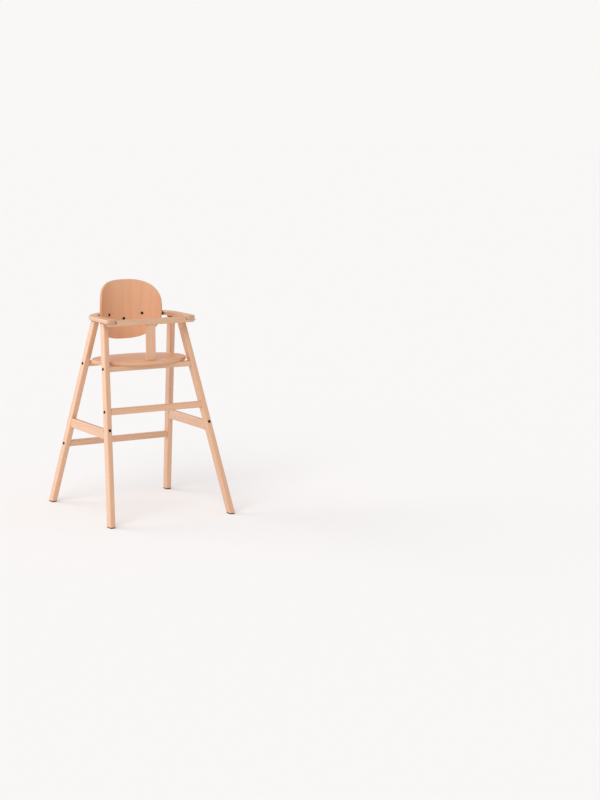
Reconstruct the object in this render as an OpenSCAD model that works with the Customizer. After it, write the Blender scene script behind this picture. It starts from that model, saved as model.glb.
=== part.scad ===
// Baby high chair in beech: two A-shaped side frames under curved armrests, cross rails,
// an oval seat, a curved backrest and a removable safety bar with its crotch post.
// Millimetres, +Z up, the child faces -Y, the origin is on the floor under the middle of the chair.

/* [Legs] */
// Distance between the left and right legs' centres at the floor
foot_spacing_x = 509; // [480:1:530]
// Distance between the front and rear legs' centres at the floor
foot_spacing_y = 560; // [530:1:580]
// Distance between the left and right legs' centres under the armrests
top_spacing_x = 325.5; // [322:0.5:332]
// Distance between the front and rear legs' centres under the armrests
top_spacing_y = 80; // [78:1:90]
// Leg thickness across the chair
leg_w = 21.5; // [20:0.5:24]
// Leg width from front to back
leg_d = 35; // [33:0.5:38]
// Radius on the long edges of the legs
leg_edge_r = 4.5; // [3:0.5:6]
// Height of the plastic glide under each leg
glide_h = 4.5; // [3:0.5:6]

/* [Armrests] */
// Height of the armrests' underside above the floor
arm_under_z = 747; // [740:1:752]
// Thickness of the armrests
arm_t = 16.5; // [16:0.5:20]
// Distance from the chair's middle to the armrests' inner edge
arm_in_x = 148; // [146:0.5:149]
// Distance from the chair's middle to the armrests' outer edge
arm_out_x = 187; // [185:0.5:190]
// How far the armrest tips stand in front of the chair's middle
arm_front = 128; // [124:1:134]
// Radius of the rounded armrest tips
arm_tip_r = 15; // [10:1:18]
// Radius of the armrests' inner edge behind the backrest
arm_in_r = 172; // [170:1:174]
// Where the middle of that curve lies, from the chair's middle towards the rear
arm_axis_y = -27; // [-28:0.5:-26]
// Width of an armrest behind the backrest
arm_rear_w = 30; // [28:1:34]
// Thickness of the dark pad between a leg and its armrest
pad_t = 4; // [2:0.5:5]

/* [Backrest] */
// Radius of the backrest's hollow front face, seen from above
back_r = 145; // [142:1:148]
// Distance from the chair's middle to the middle of the backrest's front face
back_front_y = 131.5; // [130:0.5:132]
// Thickness of the moulded backrest
back_t = 9; // [8:0.5:10]
// Half of the width of the backrest's front face
back_half_w = 127; // [123:1:129]
// Height of the backrest's top edge
back_top_z = 890; // [880:1:900]
// Height of the backrest's bottom edge
back_bottom_z = 656; // [650:1:665]
// Squareness of the backrest's upper corners
back_top_n = 3.0; // [2.4:0.1:3.4]
// Squareness of the backrest's lower corners
back_bottom_n = 2.6; // [2.2:0.1:3.0]
// Distance from the middle to each of the two upper bolts
eye_x = 71; // [66:1:76]
// Height of the two upper bolts
eye_z = 755; // [753:0.5:757]
// Height of the lower bolt
nose_z = 736; // [732:0.5:738]

/* [Seat] */
// Height of the seat's top face
seat_top_z = 597; // [592:1:602]
// Thickness of the seat board
seat_t = 14; // [12:0.5:16]
// Half of the seat's width
seat_half_w = 191; // [184:1:192]
// Half of the seat's depth
seat_half_d = 131; // [126:1:132]
// How far the seat's middle lies behind the chair's middle
seat_shift_y = -4; // [-6:0.5:0]
// Squareness of the seat's outline
seat_n = 2.12; // [2.0:0.02:2.14]

/* [Rails] */
// Height of the seat rails
seat_rail_h = 20; // [19:1:24]
// Height of the front and rear cross rails
cross_rail_h = 23; // [21:1:26]
// Depth of all the rails that run across the chair
rail_d = 28; // [26:1:30]
// Height of the front cross rail's middle, where the feet rest
footrest_z = 416.5; // [400:0.5:430]
// Height of the rear cross rail's middle
rear_rail_z = 245; // [235:1:260]
// Height of the side rails' middle
side_rail_z = 334; // [325:1:345]
// Height of the side rails
side_rail_h = 37; // [34:1:40]
// Thickness of the side rails
side_rail_t = 18; // [16:0.5:19]

/* [Safety bar] */
// Height of the safety bar's top above the floor
bar_top_z = 759.5; // [758:0.5:762]
// Height of the safety bar itself
bar_h = 23; // [22:0.5:25]
// Depth of the safety bar from front to back
bar_d = 24; // [22:0.5:26]
// Distance from the chair's middle to the middle of the safety bar
bar_y = -110; // [-112:0.5:-108]
// Half of the safety bar's whole length, with its tongues
bar_half_l = 190; // [188:1:192]
// Length of the bevel at each end of the bar
bar_bevel = 12; // [8:1:14]
// Width of the crotch post
post_w = 38; // [34:1:42]
// Thickness of the crotch post
post_t = 13; // [12:0.5:15]

/* [Fasteners] */
// Radius of the bolts' shanks
bolt_r = 3; // [2.5:0.25:3]
// Radius of the black bolt heads
head_r = 5.5; // [5:0.25:6]
// Height of the black bolt heads
head_h = 3.2; // [2.5:0.1:3.5]
// Radius of the barrel nuts
nut_r = 5; // [4.5:0.25:5]
// Length of the barrel nuts
nut_l = 14; // [12:0.5:14]
// Radius of the wooden dowels
dowel_r = 3; // [2.5:0.25:3]
// Radius of the screws
screw_r = 2; // [1.75:0.25:2]

/* [Hidden] */
beech = [0.87, 0.71, 0.56];
moulded_beech = [0.80, 0.58, 0.43];
dark = [0.12, 0.10, 0.09];
steel = [0.62, 0.62, 0.63];
// steps on a round corner and on a long curve, and the roundness of small, middling and large rounds
corner_steps = 4;
curve_steps = 16;
small_fn = 32;
head_fn = 48;
ring_fn = 180;
// clearance round fasteners, and between the bar and the chair
fit = 0.05;
bolt_clear = 0.25;
bar_gap = 0.3;
// longer than the chair in any direction, and how far a cut runs past the face where it starts
big = 900;
past = 5;

// slopes of the legs, and the two turns that lean an upright bar along a leg
slope_x = (foot_spacing_x - top_spacing_x) / 2 / arm_under_z;
slope_y = (foot_spacing_y - top_spacing_y) / 2 / arm_under_z;
lean_x = atan(slope_x);
lean_y = asin(slope_y / norm([slope_x, slope_y, 1]));
leg_top_z = arm_under_z - pad_t;

// the backrest and the armrests behind it are rings round two upright axes
back_axis_y = back_front_y - back_r;
back_rear_r = back_r + back_t;
arm_out_r = arm_in_r + arm_rear_w;
back_edge_a = asin(back_half_w / back_r);
eye_a = asin(eye_x / back_r);
head_seat_r = back_r - 0.12;
spacer_r = 6.5;
spacer_gap = 0.5;
bumper_a = back_edge_a - 2.5;
bumper_l = 9.2;
insert_in = 0.6;
insert_hole = 18;

// the armrests stop just short of each other, and their edges turn from the ring to straight
arm_end_a = 89.9;
arm_in_turn = 8;
arm_out_turn = 11;
arm_in_straight_y = 20;
arm_out_straight_y = 0;

seat_under_z = seat_top_z - seat_t;
seat_rail_z = seat_under_z - seat_rail_h / 2;

// lengths and places of the fasteners
cross_bolt_l = 48;
cross_nut_in = 24;
side_bolt_l = 64;
side_nut_in = 42;
side_bolt_z = side_rail_z + side_nut_in * sin(lean_y) * cos(lean_x);
side_dowel_drop = 15;
dowel_side = 9;
dowel_in_leg = 11;
dowel_in_rail = 14;
dowel_slack = 0.5;
arm_dowel_side = 8;
arm_dowel_down = 12;
arm_dowel_up = 9;
insert_r = 4.5;
insert_l = 13;
back_bolt_l = 28;
seat_screw_x = 90;
seat_screw_up = 10;
screw_head_r = 4;
screw_head_h = 2.4;
pin_r = 1.5;
pin_head_r = 3.5;
pin_up = 15;
pin_head_h = 1.45;
pin_head_up = 1;
pin_recess = 2.5;
socket_r = 2.3;
socket_depth = 1.9;
head_taper = 1;
rail_edge_r = 3;
glide_inset = [1.5, 1];
pad_inset = 2;

// the tie joins the armrests' rear ends from below
tie_half_w = 85;
tie_h = 28;
tie_out_r = arm_out_r - 2;
tie_screw_r = (arm_in_r + tie_out_r) / 2;
tie_screw_a = [9, 21];

// the bar's tongues lie under the armrest tips and are slotted round a screw and its head
bar_bottom_z = bar_top_z - bar_h;
tongue_top_z = arm_under_z - bar_gap;
bar_shoulder_x = arm_in_x - 0.7;
bar_screw_x = 166;
bar_slot_r = bolt_r + 0.4;
bar_recess_r = head_r + 0.4;
bar_recess = 4.2;
bar_screw_up = 18;
post_bottom_z = seat_top_z + bar_gap;
post_dowel_x = 10;
bar_top_r = 8;

// ---------- outlines ----------

function arc_points(centre, r, from_a, to_a, steps) =
    [for (i = [0 : steps]) let (a = from_a + (to_a - from_a) * i / steps)
        centre + r * [cos(a), sin(a)]];

function bezier_points(p0, p1, p2, steps) =
    [for (i = [1 : steps - 1]) let (t = i / steps)
        (1 - t) * (1 - t) * p0 + 2 * t * (1 - t) * p1 + t * t * p2];

function rounded_box(w, d, r) = concat(
    arc_points([w / 2 - r, d / 2 - r], r, 0, 90, corner_steps),
    arc_points([r - w / 2, d / 2 - r], r, 90, 180, corner_steps),
    arc_points([r - w / 2, r - d / 2], r, 180, 270, corner_steps),
    arc_points([w / 2 - r, r - d / 2], r, 270, 360, corner_steps));

// a point of an oval whose corners grow squarer as n goes above 2
function oval_point(a, half_w, half_d, n) =
    [sign(cos(a)) * half_w * pow(abs(cos(a)), 2 / n),
     sign(sin(a)) * half_d * pow(abs(sin(a)), 2 / n)];

function seat_outline() =
    [for (a = [0 : 5 : 355]) oval_point(a, seat_half_w, seat_half_d, seat_n) + [0, seat_shift_y]];

function back_outline() =
    let (mid = (back_top_z + back_bottom_z) / 2, half_h = (back_top_z - back_bottom_z) / 2,
         half_w = back_rear_r * sin(back_edge_a))
    [for (a = [0 : 5 : 355])
        oval_point(a, half_w, half_h, a < 180 ? back_top_n : back_bottom_n) + [0, mid]];

// the backrest's upright edges are cut square to its curve: everything between them, from above
function back_wedge() =
    [[0, 0], big * [sin(back_edge_a), cos(back_edge_a)], big * [-sin(back_edge_a), cos(back_edge_a)]];

// from the backrest's axis to the armrests' inner edge, in a direction measured from straight back
function arm_reach(a) =
    let (shift = back_axis_y - arm_axis_y)
    sqrt(arm_in_r * arm_in_r - pow(shift * sin(a), 2)) - shift * cos(a);

// where a curve that leaves a ring at point p, at angle a, meets the straight edge at x
function turn_point(p, a, x) = [x, p[1] - (x - p[0]) / tan(a)];

// the right armrest from above: round the back of the chair, then straight to the tip
function arm_outline() =
    let (axis = [0, arm_axis_y],
         in_a = acos((arm_in_x - arm_in_turn) / arm_in_r),
         out_a = acos((arm_out_x - arm_out_turn) / arm_out_r),
         in_p = axis + arm_in_r * [cos(in_a), sin(in_a)],
         out_p = axis + arm_out_r * [cos(out_a), sin(out_a)],
         in_q = [arm_in_x, arm_in_straight_y],
         out_q = [arm_out_x, arm_out_straight_y],
         tip_y = arm_tip_r - arm_front)
    concat(
        arc_points(axis, arm_in_r, arm_end_a, in_a, curve_steps),
        bezier_points(in_p, turn_point(in_p, in_a, arm_in_x), in_q, corner_steps),
        [in_q],
        arc_points([arm_in_x + arm_tip_r, tip_y], arm_tip_r, 180, 270, corner_steps),
        arc_points([arm_out_x - arm_tip_r, tip_y], arm_tip_r, 270, 360, corner_steps),
        [out_q],
        bezier_points(out_q, turn_point(out_p, out_a, arm_out_x), out_p, corner_steps),
        arc_points(axis, arm_out_r, out_a, arm_end_a, curve_steps));

// ---------- places ----------

// centre of a leg at height z: sx is -1 on the left, sy is -1 at the front
function leg_at(sx, sy, z) =
    [sx * (foot_spacing_x / 2 - slope_x * z), sy * (foot_spacing_y / 2 - slope_y * z), z];

// along a leg: x across it, y through its width, z up its length
module on_leg(sx, sy, z) {
    translate(leg_at(sx, sy, z)) rotate([sy * lean_y, -sx * lean_x, 0]) children();
}

// the same place for a rail that runs across: leaned only towards the middle
module on_rail_end(sx, sy, z) {
    translate(leg_at(sx, sy, z)) rotate([0, -sx * lean_x, 0]) children();
}

// round the backrest's axis: z points away from it, a is measured from straight back
module on_ring(a, r, z) {
    translate([r * sin(a), back_axis_y + r * cos(a), z]) rotate([-90, 0, -a]) children();
}

// upright places round the armrests' axis where the tie's screws go up
module on_ring_up(a) {
    translate([tie_screw_r * sin(a), arm_axis_y + tie_screw_r * cos(a), arm_under_z]) children();
}

module left_and_right() {
    for (sx = [-1, 1]) scale([sx, 1, 1]) children();
}

// bolt across a leg into a rail end, its head on the leg's outer face
module at_cross_bolt(sx, sy, z) {
    on_rail_end(sx, sy, z) translate([sx * leg_w / 2, 0, 0]) rotate([0, sx * 90, 0]) children();
}

// dowel beside that bolt, starting on the leg's inner face and pointing outwards
module at_cross_dowel(sx, sy, z) {
    on_rail_end(sx, sy, z) translate([-sx * leg_w / 2, -sy * dowel_side, 0])
        rotate([0, sx * 90, 0]) children();
}

// barrel nut upright in a cross rail
module at_cross_nut(sx, sy, z) {
    on_rail_end(sx, sy, z) translate([-sx * (leg_w / 2 + cross_nut_in), 0, 0]) children();
}

// bolt from a leg's front or rear face into a side rail
module at_side_bolt(sx, sy) {
    on_leg(sx, sy, side_bolt_z) translate([0, sy * leg_d / 2, 0])
        rotate([-sy * 90, 0, 0]) children();
}

module at_side_dowel(sx, sy) {
    on_leg(sx, sy, side_bolt_z) translate([0, -sy * leg_d / 2, -side_dowel_drop])
        rotate([-sy * 90, 0, 0]) children();
}

// barrel nut standing in a side rail, parallel to the leg
module at_side_nut(sx, sy) {
    on_leg(sx, sy, side_bolt_z) translate([0, -sy * side_nut_in, 0]) children();
}

// ---------- small shared shapes ----------

module ring(axis_y, r_in, r_out, z_low, z_high) {
    translate([0, axis_y, z_low]) difference() {
        cylinder(h = z_high - z_low, r = r_out, $fn = ring_fn);
        translate([0, 0, -1]) cylinder(h = z_high - z_low + 2, r = r_in, $fn = ring_fn);
    }
}

// a round hole of radius r from z = up down to z = -down
module bore(r, up, down) {
    translate([0, 0, -down]) cylinder(h = up + down, r = r, $fn = small_fn);
}

// button-head bolt: the head stands on z = 0 and the shank goes down
module bolt(l) {
    difference() {
        union() {
            cylinder(h = head_h, r1 = head_r, r2 = head_r - head_taper, $fn = head_fn);
            translate([0, 0, -l]) cylinder(h = l + fit, r = bolt_r, $fn = small_fn);
        }
        translate([0, 0, head_h - socket_depth]) cylinder(h = head_h, r = socket_r, $fn = 6);
    }
}

// wood screw: the head's face is on z = 0 and the shank goes up
module screw(l) {
    cylinder(h = screw_head_h, r1 = screw_head_r, r2 = screw_r, $fn = small_fn);
    cylinder(h = l, r = screw_r, $fn = small_fn);
}

module screw_hole(l) {
    bore(screw_head_r + fit, fit, past);
    cylinder(h = screw_head_h + fit, r1 = screw_head_r + fit, r2 = screw_r + fit, $fn = small_fn);
    cylinder(h = l, r = screw_r + fit, $fn = small_fn);
}

module insert() {
    difference() {
        cylinder(h = insert_l, r = insert_r, $fn = small_fn);
        translate([0, 0, -1]) cylinder(h = insert_l + 2, r = bolt_r + fit, $fn = small_fn);
    }
}

// ---------- legs and glides ----------

function cross_z(sy) = sy < 0 ? footrest_z : rear_rail_z;

module leg(sx, sy) {
    color(beech) difference() {
        intersection() {
            on_leg(sx, sy, 0) translate([0, 0, -big / 2])
                linear_extrude(2 * big) polygon(rounded_box(leg_w, leg_d, leg_edge_r));
            translate([-big / 2, -big / 2, glide_h]) cube([big, big, leg_top_z - glide_h]);
        }
        for (z = [seat_rail_z, cross_z(sy)]) {
            at_cross_bolt(sx, sy, z) bore(bolt_r + bolt_clear, past, leg_w + past);
            at_cross_dowel(sx, sy, z) bore(dowel_r + fit, dowel_in_leg, past);
        }
        at_side_bolt(sx, sy) bore(bolt_r + bolt_clear, past, leg_d + past);
        at_side_dowel(sx, sy) bore(dowel_r + fit, dowel_in_leg, past);
        for (side = [-1, 1])
            translate(leg_at(sx, sy, leg_top_z) + [0, side * arm_dowel_side, 0])
                bore(dowel_r + fit, past, arm_dowel_down);
        translate(leg_at(sx, sy, glide_h)) bore(pin_r + fit, pin_up, past);
    }
}

module glide(sx, sy) {
    color(dark) difference() {
        translate(leg_at(sx, sy, glide_h) - [0, 0, glide_h]) linear_extrude(glide_h)
            polygon(rounded_box(leg_w - glide_inset[0], leg_d - glide_inset[1], leg_edge_r));
        translate(leg_at(sx, sy, glide_h) - [0, 0, glide_h]) {
            bore(pin_r + fit, glide_h + past, past);
            bore(pin_head_r + fit, pin_recess, past);
        }
    }
}

module glide_pins() {
    color(steel) for (sx = [-1, 1], sy = [-1, 1])
        translate(leg_at(sx, sy, glide_h) + [0, 0, pin_head_up - glide_h]) {
            cylinder(h = pin_head_h, r = pin_head_r, $fn = small_fn);
            cylinder(h = pin_up, r = pin_r, $fn = small_fn);
        }
}

// ---------- rails ----------

// a rail across the chair, its ends cut to the legs' inner faces
module cross_rail(sy, z, h, holds_seat = false) {
    color(beech) difference() {
        translate([-big / 2, leg_at(1, sy, z)[1], z]) rotate([90, 0, 90])
            linear_extrude(big) polygon(rounded_box(rail_d, h, rail_edge_r));
        for (sx = [-1, 1]) {
            on_rail_end(sx, sy, z) translate([sx * (big - leg_w) / 2, 0, 0])
                cube([big, big, big], center = true);
            at_cross_bolt(sx, sy, z) bore(bolt_r + bolt_clear, 0, cross_bolt_l + 2);
            at_cross_dowel(sx, sy, z) bore(dowel_r + fit, 1, dowel_in_rail);
            at_cross_nut(sx, sy, z) bore(nut_r + fit, nut_l / 2 + fit, h);
        }
        if (holds_seat) for (sx = [-1, 1])
            translate([sx * seat_screw_x, leg_at(1, sy, z)[1], z - h / 2]) screw_hole(h + 1);
    }
}

module side_rail(sx) {
    color(beech) difference() {
        translate([sx * (foot_spacing_x / 2 - slope_x * side_rail_z), big / 2, side_rail_z])
            rotate([90, 0, 0]) linear_extrude(big)
            polygon(rounded_box(side_rail_t, side_rail_h, rail_edge_r));
        for (sy = [-1, 1]) {
            on_leg(sx, sy, side_bolt_z) translate([0, sy * (big - leg_d) / 2, 0])
                cube([big, big, big], center = true);
            at_side_bolt(sx, sy) bore(bolt_r + bolt_clear, 0, side_bolt_l + 2);
            at_side_dowel(sx, sy) bore(dowel_r + fit, 1, dowel_in_rail);
            at_side_nut(sx, sy) bore(nut_r + fit, nut_l / 2 + fit, side_rail_h);
        }
    }
}

// ---------- armrests and back ----------

module armrest(sx) {
    color(beech) scale([sx, 1, 1]) difference() {
        translate([0, 0, arm_under_z]) linear_extrude(arm_t) polygon(arm_outline());
        for (sy = [-1, 1], side = [-1, 1])
            translate(leg_at(1, sy, leg_top_z) + [0, side * arm_dowel_side, 0])
                bore(dowel_r + fit, pad_t + arm_dowel_up + fit, past);
        on_ring(eye_a, arm_reach(eye_a), eye_z) bore(insert_r + fit, insert_hole, past);
        for (a = tie_screw_a) on_ring_up(a) bore(screw_r + fit, seat_screw_up + fit, past);
        translate([bar_screw_x, bar_y, arm_under_z]) bore(insert_r + fit, insert_l + 2 * bar_gap, past);
    }
}

module backrest() {
    color(moulded_beech) difference() {
        intersection() {
            translate([0, big / 2, 0]) rotate([90, 0, 0])
                linear_extrude(big / 2) polygon(back_outline());
            ring(back_axis_y, back_r, back_rear_r, back_bottom_z - past, back_top_z + past);
            translate([0, back_axis_y, back_bottom_z - past])
                linear_extrude(back_top_z - back_bottom_z + 2 * past) polygon(back_wedge());
        }
        for (a = [-eye_a, eye_a]) on_ring(a, back_r, eye_z) bore(bolt_r + bolt_clear, back_t + past, past);
        on_ring(0, back_r, nose_z) bore(bolt_r + bolt_clear, back_t + past, past);
    }
}

module back_tie() {
    color(beech) difference() {
        intersection() {
            ring(arm_axis_y, arm_in_r, tie_out_r, arm_under_z - tie_h, arm_under_z);
            translate([-tie_half_w, 0, arm_under_z - tie_h - 1]) cube([2 * tie_half_w, big, tie_h + 2]);
        }
        on_ring(0, arm_reach(0), nose_z) bore(insert_r + fit, insert_hole, past);
        for (a = tie_screw_a) left_and_right()
            on_ring_up(a) translate([0, 0, -tie_h]) screw_hole(tie_h + 1);
    }
}

module back_bolts() {
    color(dark) {
        for (a = [-eye_a, eye_a]) on_ring(a, head_seat_r, eye_z) rotate([180, 0, 0]) bolt(back_bolt_l);
        on_ring(0, head_seat_r, nose_z) rotate([180, 0, 0]) bolt(back_bolt_l);
    }
}

module back_spacers() {
    color(dark) for (place = [[-eye_a, eye_z], [eye_a, eye_z], [0, nose_z]])
        on_ring(place[0], back_rear_r, place[1]) difference() {
            cylinder(h = arm_reach(place[0]) - spacer_gap - back_rear_r, r = spacer_r, $fn = head_fn);
            bore(bolt_r + bolt_clear, 2 * past, past);
        }
}

module back_bumpers() {
    color(dark) for (a = [-bumper_a, bumper_a])
        on_ring(a, back_rear_r, eye_z) cylinder(h = bumper_l, r = spacer_r, $fn = head_fn);
}

module tie_screws() {
    color(steel) for (a = tie_screw_a) left_and_right()
        on_ring_up(a) translate([0, 0, -tie_h]) screw(tie_h + seat_screw_up);
}

module threaded_inserts() {
    color(steel) {
        for (a = [-eye_a, eye_a]) on_ring(a, arm_reach(a) + insert_in, eye_z) insert();
        on_ring(0, arm_reach(0) + insert_in, nose_z) insert();
        for (sx = [-1, 1]) translate([sx * bar_screw_x, bar_y, arm_under_z + bar_gap]) insert();
    }
}

// ---------- seat ----------

module seat_panel() {
    color(moulded_beech) difference() {
        translate([0, 0, seat_under_z]) linear_extrude(seat_t) polygon(seat_outline());
        for (sx = [-1, 1], sy = [-1, 1])
            translate([sx * seat_screw_x, leg_at(1, sy, seat_rail_z)[1], seat_under_z])
                bore(screw_r + fit, seat_screw_up + fit, past);
    }
}

module seat_screws() {
    color(steel) for (sx = [-1, 1], sy = [-1, 1])
        translate([sx * seat_screw_x, leg_at(1, sy, seat_rail_z)[1], seat_under_z - seat_rail_h])
            screw(seat_rail_h + seat_screw_up);
}

// ---------- safety bar ----------

// the bar seen from the front: full height between the armrests, thin tongues under them
function bar_front() = [
    [-bar_half_l, tongue_top_z], [bar_bevel - bar_half_l, bar_bottom_z],
    [bar_half_l - bar_bevel, bar_bottom_z], [bar_half_l, tongue_top_z],
    [bar_shoulder_x, tongue_top_z], [bar_shoulder_x, bar_top_z],
    [-bar_shoulder_x, bar_top_z], [-bar_shoulder_x, tongue_top_z]];

// the bar seen from its end: well rounded on top, lightly below
function bar_section() = concat(
    arc_points([bar_d / 2 - bar_top_r, bar_h / 2 - bar_top_r], bar_top_r, 0, 90, corner_steps),
    arc_points([bar_top_r - bar_d / 2, bar_h / 2 - bar_top_r], bar_top_r, 90, 180, corner_steps),
    arc_points([rail_edge_r - bar_d / 2, rail_edge_r - bar_h / 2], rail_edge_r, 180, 270, corner_steps),
    arc_points([bar_d / 2 - rail_edge_r, rail_edge_r - bar_h / 2], rail_edge_r, 270, 360, corner_steps));

module safety_bar() {
    color(beech) difference() {
        intersection() {
            translate([0, bar_y + big / 2, 0]) rotate([90, 0, 0]) linear_extrude(big)
                polygon(bar_front());
            translate([-big / 2, bar_y, bar_bottom_z + bar_h / 2]) rotate([90, 0, 90])
                linear_extrude(big) polygon(bar_section());
        }
        for (sx = [-1, 1]) {
            translate([sx * bar_screw_x, bar_y, arm_under_z]) bore(bar_slot_r, past, bar_h);
            translate([sx * bar_screw_x - bar_slot_r, bar_y, bar_bottom_z - 1])
                cube([2 * bar_slot_r, bar_d, bar_h]);
            translate([sx * bar_screw_x, bar_y, bar_bottom_z]) bore(bar_recess_r, bar_recess, past);
            translate([sx * bar_screw_x - bar_recess_r, bar_y, bar_bottom_z - past])
                cube([2 * bar_recess_r, bar_d, bar_recess + past]);
            translate([sx * post_dowel_x, bar_y, bar_bottom_z]) bore(dowel_r + fit, dowel_in_rail, past);
        }
    }
}

module crotch_post() {
    color(beech) difference() {
        translate([0, bar_y, post_bottom_z]) linear_extrude(bar_bottom_z - post_bottom_z)
            polygon(rounded_box(post_w, post_t, rail_edge_r));
        for (sx = [-1, 1]) translate([sx * post_dowel_x, bar_y, bar_bottom_z])
            bore(dowel_r + fit, past, dowel_in_rail + fit);
    }
}

module post_dowels() {
    color(beech) for (sx = [-1, 1]) translate([sx * post_dowel_x, bar_y, bar_bottom_z])
        bore(dowel_r, dowel_in_rail - dowel_slack, dowel_in_rail - dowel_slack);
}

module bar_screws() {
    color(dark) for (sx = [-1, 1])
        translate([sx * bar_screw_x, bar_y, bar_bottom_z + bar_recess - bar_gap])
            rotate([180, 0, 0]) bolt(bar_screw_up);
}

// ---------- fasteners of the frame ----------

module cross_bolts() {
    color(dark) for (sx = [-1, 1], sy = [-1, 1], z = [seat_rail_z, cross_z(sy)])
        at_cross_bolt(sx, sy, z) bolt(cross_bolt_l);
}

module side_bolts() {
    color(dark) for (sx = [-1, 1], sy = [-1, 1]) at_side_bolt(sx, sy) bolt(side_bolt_l);
}

module cross_nut() {
    difference() {
        cylinder(h = nut_l, r = nut_r, center = true, $fn = small_fn);
        rotate([0, 90, 0]) bore(bolt_r + fit, 2 * nut_r, 2 * nut_r);
    }
}

module barrel_nuts() {
    color(steel) {
        for (sx = [-1, 1], sy = [-1, 1], z = [seat_rail_z, cross_z(sy)])
            at_cross_nut(sx, sy, z) cross_nut();
        for (sx = [-1, 1], sy = [-1, 1]) at_side_nut(sx, sy) rotate([0, 0, 90]) cross_nut();
    }
}

module rail_dowels() {
    color(beech) {
        for (sx = [-1, 1], sy = [-1, 1], z = [seat_rail_z, cross_z(sy)])
            at_cross_dowel(sx, sy, z)
                bore(dowel_r, dowel_in_leg - dowel_slack, dowel_in_rail - dowel_slack);
        for (sx = [-1, 1], sy = [-1, 1])
            at_side_dowel(sx, sy) bore(dowel_r, dowel_in_leg - dowel_slack, dowel_in_rail - dowel_slack);
    }
}

module arm_dowels() {
    color(beech) for (sx = [-1, 1], sy = [-1, 1], side = [-1, 1])
        translate(leg_at(sx, sy, leg_top_z) + [0, side * arm_dowel_side, 0])
            bore(dowel_r, pad_t + arm_dowel_up, arm_dowel_down - dowel_slack);
}

module arm_pads() {
    color(dark) for (sx = [-1, 1], sy = [-1, 1]) difference() {
        translate(leg_at(sx, sy, leg_top_z)) linear_extrude(pad_t)
            polygon(rounded_box(leg_w - pad_inset, leg_d - pad_inset, leg_edge_r - pad_inset / 2));
        for (side = [-1, 1])
            translate(leg_at(sx, sy, leg_top_z) + [0, side * arm_dowel_side, 0])
                bore(dowel_r + fit, past, past);
    }
}

leg(-1, -1);  // leg_front_left
leg(1, -1);  // leg_front_right
leg(-1, 1);  // leg_rear_left
leg(1, 1);  // leg_rear_right
glide(-1, -1);  // glide_front_left
glide(1, -1);  // glide_front_right
glide(-1, 1);  // glide_rear_left
glide(1, 1);  // glide_rear_right
armrest(-1);  // armrest_left
armrest(1);  // armrest_right
backrest();
back_tie();
seat_panel();
cross_rail(-1, seat_rail_z, seat_rail_h, true);  // seat_rail_front
cross_rail(1, seat_rail_z, seat_rail_h, true);  // seat_rail_rear
cross_rail(-1, footrest_z, cross_rail_h);  // footrest_rail
cross_rail(1, rear_rail_z, cross_rail_h);  // rear_cross_rail
side_rail(-1);  // side_rail_left
side_rail(1);  // side_rail_right
safety_bar();
crotch_post();
post_dowels();
cross_bolts();
side_bolts();
barrel_nuts();
rail_dowels();
arm_dowels();
arm_pads();
back_bolts();
back_spacers();
back_bumpers();
threaded_inserts();
tie_screws();
seat_screws();
glide_pins();
bar_screws();
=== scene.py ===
"""Baby high chair in beech: the finished pieces, their materials and the studio round them.

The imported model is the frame. Every piece is made in metres where its CAD node stands.
"""

import math
import random

import bmesh
import bpy
import numpy as np
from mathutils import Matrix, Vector


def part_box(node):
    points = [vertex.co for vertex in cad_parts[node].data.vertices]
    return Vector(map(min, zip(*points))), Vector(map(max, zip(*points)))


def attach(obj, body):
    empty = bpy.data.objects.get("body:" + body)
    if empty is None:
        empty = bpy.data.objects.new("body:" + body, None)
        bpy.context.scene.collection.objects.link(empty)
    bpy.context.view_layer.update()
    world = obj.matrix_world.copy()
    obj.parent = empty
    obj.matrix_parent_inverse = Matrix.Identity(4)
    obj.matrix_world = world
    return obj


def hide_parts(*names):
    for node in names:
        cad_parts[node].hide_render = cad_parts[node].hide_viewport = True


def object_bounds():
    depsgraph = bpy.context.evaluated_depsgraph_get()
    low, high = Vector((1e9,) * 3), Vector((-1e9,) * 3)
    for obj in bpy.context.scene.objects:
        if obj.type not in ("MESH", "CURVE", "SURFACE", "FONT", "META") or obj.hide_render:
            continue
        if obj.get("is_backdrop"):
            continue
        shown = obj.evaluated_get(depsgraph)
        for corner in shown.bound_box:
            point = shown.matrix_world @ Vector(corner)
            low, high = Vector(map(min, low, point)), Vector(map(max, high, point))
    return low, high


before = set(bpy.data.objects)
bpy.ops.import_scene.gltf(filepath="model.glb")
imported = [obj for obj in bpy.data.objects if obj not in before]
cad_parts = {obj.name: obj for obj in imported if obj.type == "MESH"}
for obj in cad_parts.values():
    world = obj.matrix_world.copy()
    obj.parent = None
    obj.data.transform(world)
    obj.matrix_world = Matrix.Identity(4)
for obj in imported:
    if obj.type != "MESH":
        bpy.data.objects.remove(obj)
CAD_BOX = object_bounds()

bl_info = {
    "name": "Baby High Chair",
    "version": (1, 0, 0),
    "blender": (4, 5, 0),
    "location": "View3D > Sidebar > High Chair",
    "description": "Builds a beech high chair with a removable safety bar around its packed frame",
    "category": "Add Mesh",
}

SIDES = {"left": -1, "right": 1}
ENDS = {"front": -1, "rear": 1}
UP = Vector((0, 0, 1))
MM = 0.001
# clearance round screws and nuts, and how far a cutter runs past the wood
FIT = 0.05 * MM
PAST = 10 * MM
# the round holes that are cut have this many sides
HOLE_SIDES = 32
SCREW_RADIUS, SCREW_HEAD_RADIUS, SCREW_HEAD_DEEP = 2 * MM, 4 * MM, 2.4 * MM
# squareness of the backrest's upper and lower corners and of the seat
BACK_TOP_SQUARE, BACK_BOTTOM_SQUARE, SEAT_SQUARE = 3.0, 2.6, 2.12


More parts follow.
